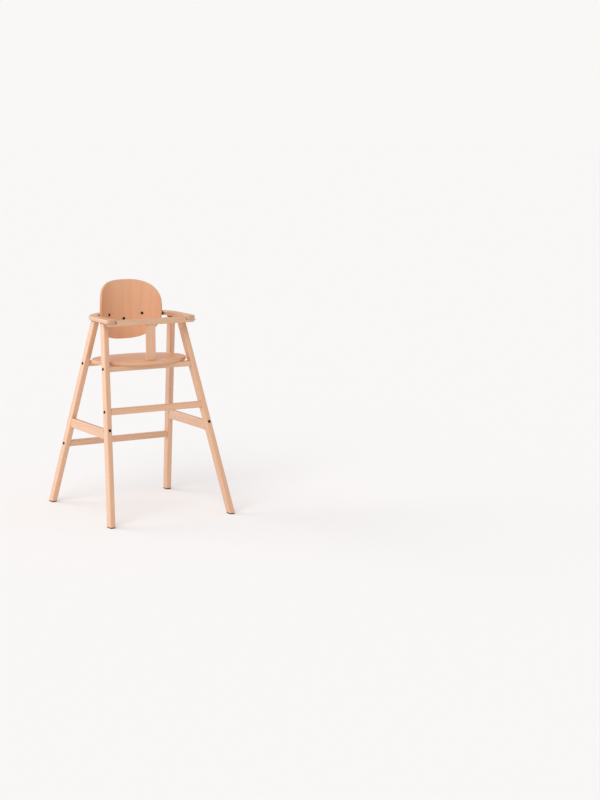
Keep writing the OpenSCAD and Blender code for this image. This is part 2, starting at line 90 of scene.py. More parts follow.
def hex_colour(code):
    """An sRGB hex colour as linear red, green and blue."""
    parts = [int(code[i : i + 2], 16) / 255 for i in (0, 2, 4)]
    return [c / 12.92 if c <= 0.04045 else ((c + 0.055) / 1.055) ** 2.4 for c in parts]


def length_prop(name, description, mm):
    """A size that the user may change; its default is given in millimetres."""
    return bpy.props.FloatProperty(
        name=name, description=description, default=mm / 1000, unit="LENGTH", precision=5
    )


def colour_prop(name, description, code):
    return bpy.props.FloatVectorProperty(
        name=name, description=description, default=hex_colour(code), subtype="COLOR", min=0, max=1
    )


class ChairSizes(bpy.types.PropertyGroup):
    """Sizes of the wood that a user would change."""

    leg_width: length_prop("Leg Width", "Thickness of a leg across the chair", 21.5)
    leg_depth: length_prop("Leg Depth", "Width of a leg from front to back", 35)
    leg_edge: length_prop("Leg Edge", "Radius on a leg's long edges", 4.5)
    rail_edge: length_prop("Rail Edge", "Radius on a rail's long edges", 3)
    end_edge: length_prop("End Edge", "Small round where a leg or rail ends", 0.5)
    arm_edge: length_prop("Armrest Edge", "Radius on an armrest's upper and lower edges", 3.5)
    arm_inner: length_prop("Armrest Inner Edge", "From the middle to an armrest's inner edge", 148)
    arm_ring: length_prop("Armrest Ring", "Radius of the armrests' inner edge behind the back", 172)
    arm_rear_width: length_prop("Armrest Rear Width", "Width of an armrest behind the back", 30)
    arm_tip: length_prop("Armrest Tip", "Corner radius of an armrest's front end", 15)
    back_radius: length_prop("Back Radius", "Radius of the backrest's hollow face", 145)
    back_half_width: length_prop("Back Half Width", "Middle to edge of the hollow face", 127)
    back_ply: length_prop("Back Thickness", "Thickness of the moulded backrest", 9)
    back_edge: length_prop("Back Edge", "Round on the backrest's edge", 2.5)
    seat_edge: length_prop("Seat Edge", "Round on the seat's edge", 3)
    bar_top_edge: length_prop("Bar Top Edge", "Radius on the safety bar's upper edges", 8)
    ply_layer: length_prop("Veneer Layer", "Thickness of one veneer in the plywood", 1.4)


class ChairFinishes(bpy.types.PropertyGroup):
    """Colours that a user would change."""

    beech_light: colour_prop("Beech Light", "Early wood of the solid beech", "DBAC86")
    beech_dark: colour_prop("Beech Dark", "Late wood of the solid beech", "D19D76")
    beech_fleck: colour_prop("Beech Fleck", "Ray flecks in the solid beech", "BC8560")
    beech_end: colour_prop("Beech End", "End grain of the solid beech", "A8745A")
    veneer_light: colour_prop("Veneer Light", "Pale figure in the face veneer", "E5B089")
    veneer_dark: colour_prop("Veneer Dark", "Deep figure in the face veneer", "DFA780")
    veneer_cross: colour_prop("Cross Veneer", "Veneers laid across, seen on the edge", "CF9D76")
    floor_tone: colour_prop("Floor", "Pale studio floor", "F9F8F9")


def sizes():
    return bpy.context.scene.chair_sizes


def finishes():
    return bpy.context.scene.chair_finishes


# ---------- reading the frame ----------


def cad_points(node):
    """A CAD node's vertices as an array."""
    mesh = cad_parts[node].data
    points = np.zeros(len(mesh.vertices) * 3)
    mesh.vertices.foreach_get("co", points)
    return points.reshape(-1, 3)


def leg_name(sx, sy):
    end = "front" if sy < 0 else "rear"
    side = "left" if sx < 0 else "right"
    return f"leg_{end}_{side}"


class Axes:
    """A place and three directions: across a piece, through it and along its grain."""

    def __init__(self, origin, across, through, along):
        self.origin = Vector(origin)
        self.across = Vector(across)
        self.through = Vector(through)
        self.along = Vector(along)

    def at(self, u, v, w=0.0):
        return self.origin + self.across * u + self.through * v + self.along * w


def leg_axes(sx, sy):
    """The leaning axes of a leg, from the middles of its two end faces."""
    points = cad_points(leg_name(sx, sy))
    ends = []
    for z in (points[:, 2].min(), points[:, 2].max()):
        face = points[abs(points[:, 2] - z) < 1e-5]
        ends.append(Vector((face.min(0) + face.max(0)) / 2))
    along = (ends[1] - ends[0]).normalized()
    across = Vector((along.z, 0, -along.x)).normalized()
    return Axes(ends[0], across, along.cross(across), along)


def leg_centre(axes, z):
    """The point of a leg's middle line at height z."""
    return axes.origin + axes.along * ((z - axes.origin.z) / axes.along.z)


def loose_parts(node):
    """The vertices of each separate solid in a CAD node."""
    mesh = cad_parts[node].data
    points = cad_points(node)
    group = {}

    def root(key):
        while group[key] != key:
            group[key] = group[group[key]]
            key = group[key]
        return key

    keys = [tuple(np.round(p, 6)) for p in points]
    for key in keys:
        group[key] = key
    for polygon in mesh.polygons:
        first = root(keys[polygon.vertices[0]])
        for i in polygon.vertices[1:]:
            group[root(keys[i])] = first
    parts = {}
    for key in group:
        parts.setdefault(root(key), []).append(key)
    return [np.array(parts[key]) for key in sorted(parts)]


def bolt_places(node):
    """For each bolt of a CAD node: the point under its head, the way its head faces, its length."""
    places = []
    for part in loose_parts(node):
        middle = part.mean(0)
        axis = np.linalg.svd(part - middle, full_matrices=False)[2][0]
        along = (part - middle) @ axis
        off = np.linalg.norm(part - middle - np.outer(along, axis), axis=1)
        wide = off > 0.8 * off.max()
        if along[wide].mean() < along.mean():
            axis, along = -axis, -along
        seat = along[wide].min()
        places.append((Vector(middle + axis * seat), Vector(axis), float(seat - along.min())))
    return places


# ---------- mesh building ----------


def new_piece(name, points, faces):
    """A mesh object whose faces point outwards."""
    mesh = bpy.data.meshes.new(name)
    mesh.from_pydata([tuple(p) for p in points], [], faces)
    shell = bmesh.new()
    shell.from_mesh(mesh)
    bmesh.ops.recalc_face_normals(shell, faces=shell.faces)
    shell.to_mesh(mesh)
    shell.free()
    mesh.validate()
    piece = bpy.data.objects.new(name, mesh)
    bpy.context.scene.collection.objects.link(piece)
    return piece


def settle(piece):
    """Turns what the modifiers make into the piece's own mesh."""
    depsgraph = bpy.context.evaluated_depsgraph_get()
    made = bpy.data.meshes.new_from_object(piece.evaluated_get(depsgraph))
    piece.modifiers.clear()
    piece.data = made
    return piece


def cut(piece, cutters):
    """Takes the cutters' solids out of the piece."""
    for cutter in cutters:
        boolean = piece.modifiers.new("cut", "BOOLEAN")
        boolean.operation = "DIFFERENCE"
        boolean.solver = "EXACT"
        boolean.object = cutter
    settle(piece)
    for cutter in cutters:
        bpy.data.objects.remove(cutter)
    return piece


def smooth(piece, angle=math.radians(35)):
    """Smooth faces, sharp edges above the angle, and normals that keep flat faces flat."""
    piece.data.shade_smooth()
    piece.data.set_sharp_from_angle(angle=angle)
    weighted = piece.modifiers.new("weighted", "WEIGHTED_NORMAL")
    weighted.keep_sharp = True
    return settle(piece)


def set_grain(piece, place, along):
    """Stores each point's place across, through and along the wood, each piece in its own wood.

    along(point) is the grain's direction; each face stores how far it cuts across it.
    """
    shift = Vector([random.uniform(-20, 20) for _ in range(3)])
    grain = piece.data.attributes.new("grain", "FLOAT_VECTOR", "POINT")
    for vertex, value in zip(piece.data.vertices, grain.data):
        value.vector = Vector(place(vertex.co)) + shift
    ends = piece.data.attributes.new("end_grain", "FLOAT", "FACE")
    for face, value in zip(piece.data.polygons, ends.data):
        value.value = abs(face.normal.dot(along(face.center)))
    return piece


def ring_direction(point, axis_y):
    """The level direction round an upright axis on the chair's middle plane."""
    return Vector((point.y - axis_y, -point.x, 0)).normalized()


def axes_grain(axes):
    """Straight grain along the axes."""

    def place(point):
        away = point - axes.origin
        return away.dot(axes.across), away.dot(axes.through), away.dot(axes.along)

    return place


def finish_piece(piece, material, body, slot, *nodes):
    """Gives the piece its material and its body, and hides the CAD nodes that it stands for. The
    slot is not used.
    """
    piece.data.materials.clear()
    piece.data.materials.append(bpy.data.materials[material])
    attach(piece, body)
    if nodes:
        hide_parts(*nodes)
    return piece


def arc(centre, radius, start, stop, steps):
    """Points of a round corner, angles in degrees."""
    turn = [math.radians(start + (stop - start) * i / steps) for i in range(steps + 1)]
    return [(centre[0] + radius * math.cos(a), centre[1] + radius * math.sin(a)) for a in turn]


def rounded_section(width, depth, radii, inset=0.0, steps=6):
    """A rectangle with four round corners, from the +u +v corner anticlockwise, drawn inwards."""
    half_u, half_v = width / 2 - inset, depth / 2 - inset
    points = []
    for corner, (side_u, side_v) in enumerate(((1, 1), (-1, 1), (-1, -1), (1, -1))):
        radius = max(radii[corner] - inset, 0.1 * MM)
        centre = (side_u * (half_u - radius), side_v * (half_v - radius))
        points += arc(centre, radius, 90 * corner, 90 * corner + 90, steps)
    return points


def edge_rounds(edge, steps=3):
    """Inset and depth pairs of a small quarter round, from the end face to the side."""
    turn = [math.pi / 2 * i / steps for i in range(steps + 1)]
    return [(edge * (1 - math.sin(a)), edge * (1 - math.cos(a))) for a in turn]


def straight_bar(name, axes, width, depth, radii, planes, edge):
    """A bar along the axes between two planes, each a point and an outward normal."""
    rings = []
    for number, (point, normal) in enumerate(planes):
        end_rings = []
        for inset, deep in edge_rounds(edge):
            ring = []
            for u, v in rounded_section(width, depth, radii, inset):
                start = axes.at(u, v)
                reach = ((point - start).dot(normal) - deep) / axes.along.dot(normal)
                ring.append(start + axes.along * reach)
            end_rings.append(ring)
        rings += end_rings if number == 0 else end_rings[::-1]
    return loft(name, rings)


def loft(name, rings):
    """A closed solid through rings of equally many points, with a flat face at each end."""
    count = len(rings[0])
    points = [p for ring in rings for p in ring]
    faces = []
    for r in range(len(rings) - 1):
        for i in range(count):
            j = (i + 1) % count
            faces.append((r * count + i, r * count + j, (r + 1) * count + j, (r + 1) * count + i))
    faces.append(tuple(range(count)))
    faces.append(tuple(range((len(rings) - 1) * count, len(rings) * count)))
    return new_piece(name, points, faces)


def prism(name, axes, outline, low, high):
    """A straight-sided solid on an outline across the axes, used to cut."""
    rings = [[axes.at(u, v, w) for u, v in outline] for w in (low, high)]
    return loft(name, rings)


def slab(name, inner, outer, stations, low, high, edge, round_tip):
    """A flat curved board between an inner and an outer line, with rounded edges all along.

    inner(j, inset) and outer(j, inset) give the plan points at station j.
    """
    levels = [(inset, low + deep) for inset, deep in edge_rounds(edge)]
    levels += [(inset, high - deep) for inset, deep in reversed(edge_rounds(edge))]
    rings = []
    for j in range(stations):
        ring = [(*outer(j, inset), z) for inset, z in levels]
        ring += [(*inner(j, inset), z) for inset, z in reversed(levels)]
        rings.append(ring)
    count = 2 * len(levels)
    points = [p for ring in rings for p in ring]
    faces = []
    for r in range(stations - 1):
        for i in range(count):
            j = (i + 1) % count
            faces.append((r * count + i, r * count + j, (r + 1) * count + j, (r + 1) * count + i))
    faces.append(tuple(range(count)))
    last = (stations - 1) * count
    if round_tip:
        for i in range(len(levels) - 1):
            near, far = last + i, last + count - 1 - i
            faces.append((near, near + 1, far - 1, far))
    else:
        faces.append(tuple(range(last, last + count)))
    return new_piece(name, points, faces)


# ---------- materials ----------


def add_node(tree, kind, inputs=None, **settings):
    """A node with its settings; an input takes a plain value or another node's output."""
    node = tree.nodes.new(kind)
    for name, value in settings.items():
        setattr(node, name, value)
    for name, value in (inputs or {}).items():
        if isinstance(value, bpy.types.NodeSocket):
            tree.links.new(value, node.inputs[name])
        else:
            node.inputs[name].default_value = value
    return node


def new_material(name, **surface):
    """An empty material with one surface shader, whose plain values are given."""
    material = bpy.data.materials.new(name)
    material.use_nodes = True
    shader = material.node_tree.nodes["Principled BSDF"]
    for socket, value in surface.items():
        shader.inputs[socket.replace("_", " ").title().replace("Ior", "IOR")].default_value = value
    return material.node_tree, shader


def wood_figure(tree, place, scale, **inputs):
    """A pattern stretched along the grain; scale counts its marks in a metre, each way."""
    stretched = add_node(tree, "ShaderNodeMapping", {"Vector": place, "Scale": scale})
    values = {"Vector": stretched.outputs[0], "Scale": 1.0, **inputs}
    return add_node(tree, "ShaderNodeTexNoise", values).outputs["Fac"]


def blend_tones(tree, factor, first, second):
    """A colour between two others; each is three numbers or another node's output."""
    tones = [t if isinstance(t, bpy.types.NodeSocket) else (*t, 1) for t in (first, second)]
    values = {0: factor, 6: tones[0], 7: tones[1]}
    return add_node(tree, "ShaderNodeMix", values, data_type="RGBA").outputs[2]


def masked(tree, pattern, start, full, most=1.0, least=0.0):
    """How strongly a pattern shows: least at its value start, most at its value full."""
    values = {"Value": pattern, "From Min": start, "From Max": full}
    values.update({"To Min": least, "To Max": most})
    return add_node(tree, "ShaderNodeMapRange", values).outputs[0]


def dress(tree, shader, colour, pattern, rough, strength, relief_mm):
    """Gives a surface its colour, and lets one fine pattern vary its roughness and its relief."""
    smoothest, roughest = rough
    sheen = masked(tree, pattern, 0.3, 0.7, roughest, smoothest)
    values = {"Height": pattern, "Strength": strength, "Distance": relief_mm * MM}
    relief = add_node(tree, "ShaderNodeBump", values)
    tree.links.new(colour, shader.inputs["Base Color"])
    tree.links.new(sheen, shader.inputs["Roughness"])
    tree.links.new(relief.outputs[0], shader.inputs["Normal"])


def wood_tones(tree, place, light, dark, ring_mm, run_mm):
    """Long soft bands of early and late wood, ring_mm wide and run_mm long."""
    scale = (1 / (ring_mm * MM), 1 / (ring_mm * MM), 1 / (run_mm * MM))
    bands = wood_figure(tree, place, scale, Detail=4.0, Roughness=0.55, Distortion=0.6)
    return blend_tones(tree, masked(tree, bands, 0.33, 0.67), light, dark)


def solid_beech():
    """Solid beech, planed, sanded and oiled.

    Straight pinkish grain, short brown ray flecks, darker end grain and a silky low shine. Real
    flecks are 0.3 mm by 2 mm; they are drawn about three times as large, so that they show.
    """
    tone = finishes()
    tree, shader = new_material(
        "oiled_solid_beech", ior=1.6, specular_ior_level=1.0, coat_weight=0.45, coat_roughness=0.42
    )
    place = add_node(tree, "ShaderNodeAttribute", attribute_name="grain").outputs["Vector"]
    bands = wood_tones(tree, place, tone.beech_light, tone.beech_dark, 5, 160)
    board = wood_figure(tree, place, (12, 12, 1.5), Detail=1.0)
    lift = masked(tree, board, 0.3, 0.7, 1.06, 0.93)
    toned = add_node(tree, "ShaderNodeHueSaturation", {"Color": bands, "Value": lift}).outputs[0]
    rays = wood_figure(tree, place, (1100, 1100, 190), Detail=1.0, Roughness=0.4)
    flecked = blend_tones(tree, masked(tree, rays, 0.64, 0.74, 0.4), toned, tone.beech_fleck)
    across = add_node(tree, "ShaderNodeAttribute", attribute_name="end_grain").outputs["Fac"]
    ended = blend_tones(tree, masked(tree, across, 0.35, 1.0, 0.55), flecked, tone.beech_end)
    pores = wood_figure(tree, place, (1600, 1600, 60), Detail=3.0)
    dress(tree, shader, ended, pores, (0.4, 0.54), 0.25, 0.1)


def moulded_plywood():
    """Beech veneers pressed into a shell and oiled.

    The faces show broad rotary-cut figure, warmer than solid wood, and the edges show the veneers
    as pale and dark lines.
    """
    tone = finishes()
    tree, shader = new_material(
        "oiled_beech_plywood", ior=1.5, coat_weight=0.4, coat_roughness=0.4
    )
    place = add_node(tree, "ShaderNodeAttribute", attribute_name="grain").outputs["Vector"]
    depth = add_node(tree, "ShaderNodeAttribute", attribute_name="ply_depth").outputs["Fac"]
    face = wood_tones(tree, place, tone.veneer_light, tone.veneer_dark, 20, 240)
    turn = math.pi / sizes().ply_layer
    swing = add_node(tree, "ShaderNodeMath", {0: depth, 1: turn}, operation="MULTIPLY")
    wave = add_node(tree, "ShaderNodeMath", {0: swing.outputs[0]}, operation="COSINE")
    crosswise = masked(tree, wave.outputs[0], 0.15, -0.15, 0.85)
    layered = blend_tones(tree, crosswise, face, tone.veneer_cross)
    flecks = wood_figure(tree, place, (800, 800, 220), Detail=1.0)
    flecked = blend_tones(tree, masked(tree, flecks, 0.64, 0.76, 0.22), layered, tone.beech_fleck)
    dress(tree, shader, flecked, flecks, (0.42, 0.54), 0.15, 0.1)


def speckled(name, light, dark, grain_mm, rough, relief_mm, **surface):
    """A material whose tone and roughness vary in a fine even grain."""
    tree, shader = new_material(name, **surface)
    place = add_node(tree, "ShaderNodeTexCoord").outputs["Object"]
    values = {"Vector": place, "Scale": 1 / (grain_mm * MM), "Detail": 3.0}
    grit = add_node(tree, "ShaderNodeTexNoise", values).outputs["Fac"]
    tone = blend_tones(tree, grit, hex_colour(light), hex_colour(dark))
    vary = 0.08
    dress(tree, shader, tone, grit, (rough - vary, rough + vary), 0.4, relief_mm)


def studio_floor():
    """Matt paint on a lit studio floor: an even pale tone that takes faint soft shadows."""
    tone = finishes().floor_tone
    shader = new_material(
        "matt_studio_floor", roughness=1.0, specular_ior_level=0.0, emission_strength=0.135
    )[1]
    shader.inputs["Base Color"].default_value = (*(c * 0.85 for c in tone), 1)
    shader.inputs["Emission Color"].default_value = (*tone, 1)


def make_materials():
    solid_beech()
    moulded_plywood()
    studio_floor()
    # black oxide on steel: near black, with a dull glint on the rims
    speckled("black_oxide_steel", "12100F", "090808", 0.6, 0.45, 0.02, specular_ior_level=0.25)
    # zinc plate on steel: pale grey with a faint mottled bloom
    speckled("zinc_plated_steel", "B9BBBD", "8F9295", 1.5, 0.34, 0.01, metallic=1.0)
    # injection moulded nylon: charcoal with a fine matt texture
    speckled("moulded_nylon", "34302D", "262321", 0.5, 0.6, 0.03, ior=1.53)
    # cut rubber sheet: flat black, no shine; the pads, spacers and bumpers in it sit in narrow gaps
    # at the arms and the back, and their black is partly painted shade for those gaps
    speckled("cut_rubber", "151312", "0D0C0B", 0.8, 0.85, 0.05, specular_ior_level=0.15)
    # turned beech rod: paler than the oiled wood
    speckled("turned_beech_dowel", "E2C3A4", "CFA985", 1.2, 0.65, 0.05, ior=1.5)


# ---------- pieces ----------


def make_leg(sx, sy):
    size = sizes()
    axes = leg_axes(sx, sy)
    node = leg_name(sx, sy)
    low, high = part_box(node)
    planes = [(low, -UP), (high, UP)]
    piece = straight_bar(
        node + "_beech",
        axes,
        size.leg_width,
        size.leg_depth,
        [size.leg_edge] * 4,
        planes,
        size.end_edge,
    )
    smooth(piece)
    set_grain(piece, axes_grain(axes), lambda point: axes.along)
    finish_piece(piece, "oiled_solid_beech", "chair", "beech", node)


def cross_rail_planes(sy, z):
    """The inner faces of the two legs that a cross rail ends on."""
    planes = []
    for sx in (-1, 1):
        axes = leg_axes(sx, sy)
        outward = axes.across * sx
        planes.append((leg_centre(axes, z) - outward * (sizes().leg_width / 2), outward))
    return planes


def hole_circle(radius):
    """The outline of a round hole, its first point not repeated."""
    return arc((0, 0), radius, 0, 360 - 360 / HOLE_SIDES, HOLE_SIDES - 1)


def round_cutter(name, centre, along, radius, low, high):
    """A round cutter along a direction, from low to high."""
    across = along.orthogonal().normalized()
    axes = Axes(centre, across, along.cross(across), along)
    return prism(name, axes, hole_circle(radius), low, high)


def countersink_cutter(part, up):
    """A cutter for a countersunk screw of the frame, which goes straight up through the wood."""
    bottom = (part[:, 0].mean(), part[:, 1].mean(), part[:, 2].min())
    axes = Axes(bottom, (1, 0, 0), (0, 1, 0), UP)
    rings = []
    for radius, w in (
        (SCREW_HEAD_RADIUS + FIT, -2 * MM),
        (SCREW_HEAD_RADIUS + FIT, 0),
        (SCREW_RADIUS + FIT, SCREW_HEAD_DEEP + FIT),
        (SCREW_RADIUS + FIT, up),
    ):
        rings.append([axes.at(u, v, w) for u, v in hole_circle(radius)])
    return loft("screw_hole", rings)


def parts_inside(node, low, high):
    """The separate solids of a CAD node whose middles lie in a box."""
    inside = []
    for part in loose_parts(node):
        middle = (part.min(0) + part.max(0)) / 2
        if all(low[i] - MM <= middle[i] <= high[i] + MM for i in range(3)):
            inside.append(part)
    return inside


def nut_cutters(low, high):
    """Round holes from below to each barrel nut that lies in a rail's box."""
    cutters = []
    for part in parts_inside("barrel_nuts", low, high):
        middle = part.mean(0)
        axis = np.linalg.svd(part - middle, full_matrices=False)[2][0]
        axis = Vector(axis if axis[2] > 0 else -axis)
        along = (part - middle) @ np.array(axis)
        off = np.linalg.norm(part - middle - np.outer(along, np.array(axis)), axis=1).max()
        top = along.max() + 2 * FIT
        cutters.append(round_cutter("nut_hole", Vector(middle), axis, off + FIT, -50 * MM, top))
    return cutters


def make_cross_rail(node, sy):
    size = sizes()
    low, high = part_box(node)
    middle = (low + high) / 2
    axes = Axes((0, middle.y, middle.z), (0, 1, 0), (0, 0, 1), (1, 0, 0))
    piece = straight_bar(
        node + "_beech",
        axes,
        high.y - low.y,
        high.z - low.z,
        [size.rail_edge] * 4,
        cross_rail_planes(sy, middle.z),
        size.end_edge / 2,
    )
    cutters = nut_cutters(low, high)
    for part in parts_inside("seat_screws", low, high + UP * PAST):
        cutters.append(countersink_cutter(part, 30 * MM))
    cut(piece, cutters)
    smooth(piece)
    set_grain(piece, axes_grain(axes), lambda point: axes.along)
    finish_piece(piece, "oiled_solid_beech", "chair", "beech", node)


def make_side_rail(side):
    size = sizes()
    sx = SIDES[side]
    node = f"side_rail_{side}"
    low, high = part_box(node)
    middle = (low + high) / 2
    axes = Axes(middle, (1, 0, 0), (0, 0, 1), (0, -1, 0))
    planes = []
    for sy in (1, -1):
        leg = leg_axes(sx, sy)
        outward = leg.through * sy
        planes.append((leg_centre(leg, middle.z) - outward * (size.leg_depth / 2), outward))
    piece = straight_bar(
        node + "_beech",
        axes,
        high.x - low.x,
        high.z - low.z,
        [size.rail_edge] * 4,
        planes,
        size.end_edge / 2,
    )
    cut(piece, nut_cutters(low, high))
    smooth(piece)
    set_grain(piece, axes_grain(axes), lambda point: axes.along)
    finish_piece(piece, "oiled_solid_beech", "chair", "beech", node)


def back_axis_y():
    """Where the upright axis of the backrest's curve stands."""
    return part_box("backrest")[1].y - sizes().back_radius - sizes().back_ply


def arm_axis_y():
    """Where the upright axis of the armrests' curve stands."""
    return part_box("armrest_left")[1].y - sizes().arm_ring - sizes().arm_rear_width


def bezier(p0, p1, p2, steps):
    points = []
    for i in range(1, steps):
        t = i / steps
        weights = ((1 - t) ** 2, 2 * t * (1 - t), t * t)
        points.append(tuple(sum(w * p[i] for w, p in zip(weights, (p0, p1, p2))) for i in (0, 1)))
    return points


def arm_line(radius, straight_x, turn, straight_y, tip_y, stations):
    """Plan line of an armrest's edge: round the back, a soft turn, then straight to the tip.

    The line has evenly spaced points, each with the direction that points away from the ring.
    """
    axis = arm_axis_y()
    leave = math.acos((straight_x - turn) / radius)
    start = math.radians(89.9)
    steps = 48
    line = []
    for i in range(steps + 1):
        a = start + (leave - start) * i / steps
        line.append((radius * math.cos(a), axis + radius * math.sin(a)))
    last = line[-1]
    corner = (straight_x, last[1] - (straight_x - last[0]) / math.tan(leave))
    line += bezier(last, corner, (straight_x, straight_y), 16)
    line += [(straight_x, straight_y), (straight_x, tip_y)]
    line = np.array(line)
    reach = np.concatenate([[0], np.cumsum(np.linalg.norm(np.diff(line, axis=0), axis=1))])
    at = np.linspace(0, reach[-1], stations)
    even = np.stack([np.interp(at, reach, line[:, 0]), np.interp(at, reach, line[:, 1])], axis=1)
    ahead = np.gradient(even, axis=0)
    ahead /= np.linalg.norm(ahead, axis=1)[:, None]
    away = np.stack([-ahead[:, 1], ahead[:, 0]], axis=1)
    return even, away


def make_armrest(side):
    size = sizes()
    sx = SIDES[side]
    node = f"armrest_{side}"
    low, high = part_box(node)
    inner_radius = size.arm_ring
    outer_radius = inner_radius + size.arm_rear_width
    outer_x = max(abs(low.x), abs(high.x))
    tip_y = low.y + size.arm_tip
    run, tip_steps = 72, 12
    in_line, in_away = arm_line(inner_radius, size.arm_inner, 8 * MM, 20 * MM, tip_y, run)
    out_line, out_away = arm_line(outer_radius, outer_x, 11 * MM, 0, tip_y, run)

    def edge_point(line, away, tip_x, outwards, j, inset):
        if j < run:
            x, y = line[j] - outwards * away[j] * inset
        else:
            a = math.pi / 2 * (j - run + 1) / tip_steps
            radius = size.arm_tip - inset
            x, y = tip_x + outwards * radius * math.cos(a), tip_y - radius * math.sin(a)
        return sx * x, y

    def inner(j, inset):
        return edge_point(in_line, in_away, size.arm_inner + size.arm_tip, -1, j, inset)

    def outer(j, inset):
        return edge_point(out_line, out_away, outer_x - size.arm_tip, 1, j, inset)

    stations = run + tip_steps
    piece = slab(node + "_beech", inner, outer, stations, low.z, high.z, size.arm_edge, True)
    middle = [(Vector(inner(j, 0)) + Vector(outer(j, 0))) / 2 for j in range(stations)]
    reach = [0.0]
    for j in range(1, stations):
        reach.append(reach[-1] + (middle[j] - middle[j - 1]).length)
    count = len(piece.data.vertices) // stations
    grain = []
    for vertex in piece.data.vertices:
        j = vertex.index // count
        across = (Vector(outer(j, 0)) - middle[j]).normalized()
        grain.append(((vertex.co.xy - middle[j]).dot(across), vertex.co.z, reach[j]))
    keep = iter(grain)
    axis = arm_axis_y()
    ring_start = axis + inner_radius / 2

    def along(point):
        if point.y < ring_start:
            return Vector((0, 1, 0))
        return ring_direction(point, axis)

    set_grain(piece, lambda point: next(keep), along)
    smooth(piece)
    finish_piece(piece, "oiled_solid_beech", "chair", "beech", node)


def make_back_tie():
    size = sizes()
    node = "back_tie"
    low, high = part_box(node)
    axis = arm_axis_y()
    inner_radius = size.arm_ring
    outer_radius = high.y - axis
    stations = 41

    def plan(radius, j):
        a = math.asin(high.x / radius) * (2 * j / (stations - 1) - 1)
        return radius * math.sin(a), axis + radius * math.cos(a)

    piece = slab(
        node + "_beech",
        lambda j, inset: plan(inner_radius + inset, j),
        lambda j, inset: plan(outer_radius - inset, j),
        stations,
        low.z,
        high.z,
        2 * MM,
        False,
    )
    cutters = []
    for part in loose_parts("tie_screws"):
        cutters.append(countersink_cutter(part, 50 * MM))
    cut(piece, cutters)
    smooth(piece)

    def curved(point):
        a = math.atan2(point.x, point.y - axis)
        radius = math.hypot(point.x, point.y - axis)
        return radius, point.z, a * (inner_radius + outer_radius) / 2

    set_grain(piece, curved, lambda point: ring_direction(point, axis))
    finish_piece(piece, "oiled_solid_beech", "chair", "beech", node)


def oval_point(a, half_w, half_d, n):
    """A point of an oval whose corners grow squarer as n goes above 2."""
    c, s = math.cos(a), math.sin(a)
    return (
        math.copysign(half_w * abs(c) ** (2 / n), c),
        math.copysign(half_d * abs(s) ** (2 / n), s),
    )


def inset_line(line, inset):
    """A closed anticlockwise line drawn inwards by a distance."""
    count = len(line)
    drawn = []
    for i in range(count):
        ahead = Vector(line[(i + 1) % count]) - Vector(line[i - 1])
        inward = Vector((-ahead.y, ahead.x)).normalized()
        drawn.append(Vector(line[i]) + inward * inset)
    return drawn


def ply_board(name, outline, thickness, edge, rings, place):
    """A plywood board with a rounded edge: place(u, v, deep) bends it to its shape.

    Both faces are made of rings round their middle, so that they can bend smoothly. It stores
    how deep each point lies under the front face.
    """
    middle = Vector((sum(p[0] for p in outline), sum(p[1] for p in outline))) / len(outline)
    edge_levels = edge_rounds(edge, 5)
    levels = edge_levels + [(inset, thickness - deep) for inset, deep in reversed(edge_levels)]
    face_line = inset_line(outline, edge)
    loops = []
    for deep, order in ((0.0, range(1, rings)), (thickness, range(rings - 1, 0, -1))):
        for k in order:
            loops.append(([middle + (p - middle) * (k / rings) for p in face_line], deep))
        if deep == 0.0:
            loops += [(inset_line(outline, inset), level) for inset, level in levels]
    count = len(outline)
    points, deeps = [place(middle.x, middle.y, 0.0)], [0.0]
    for line, deep in loops:
        points += [place(p.x, p.y, deep) for p in line]
        deeps += [deep] * count
    points.append(place(middle.x, middle.y, thickness))
    deeps.append(thickness)
    faces = []
    for i in range(count):
        j = (i + 1) % count
        faces.append((0, 1 + i, 1 + j))
        for r in range(len(loops) - 1):
            a, b = 1 + r * count, 1 + (r + 1) * count
            faces.append((a + i, a + j, b + j, b + i))
        end = 1 + (len(loops) - 1) * count
        faces.append((end + i, end + j, len(points) - 1))
    piece = new_piece(name, points, faces)
    store = piece.data.attributes.new("ply_depth", "FLOAT", "POINT")
    store.data.foreach_set("value", deeps)
    return piece


def make_backrest():
    size = sizes()
    node = "backrest"
    low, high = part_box(node)
    axis = back_axis_y()
    mid_z, half_h = (low.z + high.z) / 2, (high.z - low.z) / 2
    radius = size.back_radius
    outline = []
    count = 144
    for i in range(count):
        a = 2 * math.pi * i / count
        square = BACK_TOP_SQUARE if a < math.pi else BACK_BOTTOM_SQUARE
        x, z = oval_point(a, size.back_half_width, half_h, square)
        outline.append((radius * math.asin(x / radius), mid_z + z))

    def bend(s, z, deep):
        a = s / radius
        return (radius + deep) * math.sin(a), axis + (radius + deep) * math.cos(a), z

    piece = ply_board(node + "_plywood", outline, size.back_ply, size.back_edge, 14, bend)

    def upright(point):
        a = math.atan2(point.x, point.y - axis)
        return a * radius, math.hypot(point.x, point.y - axis), point.z

    set_grain(piece, upright, lambda point: UP)
    smooth(piece)
    finish_piece(piece, "oiled_beech_plywood", "chair", "beech_veneer", node)


def make_seat():
    size = sizes()
    node = "seat_panel"
    low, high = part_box(node)
    middle, half = (low + high) / 2, (high - low) / 2
    count = 144
    outline = []
    for i in range(count):
        x, y = oval_point(2 * math.pi * i / count, half.x, half.y, SEAT_SQUARE)
        outline.append((middle.x + x, middle.y + y))
    piece = ply_board(
        node + "_plywood",
        outline,
        high.z - low.z,
        size.seat_edge,
        6,
        lambda x, y, deep: (x, y, high.z - deep),
    )
    set_grain(piece, lambda point: (point.y, point.z, point.x), lambda point: Vector((1, 0, 0)))
    smooth(piece)
    finish_piece(piece, "oiled_beech_plywood", "chair", "beech_veneer", node)


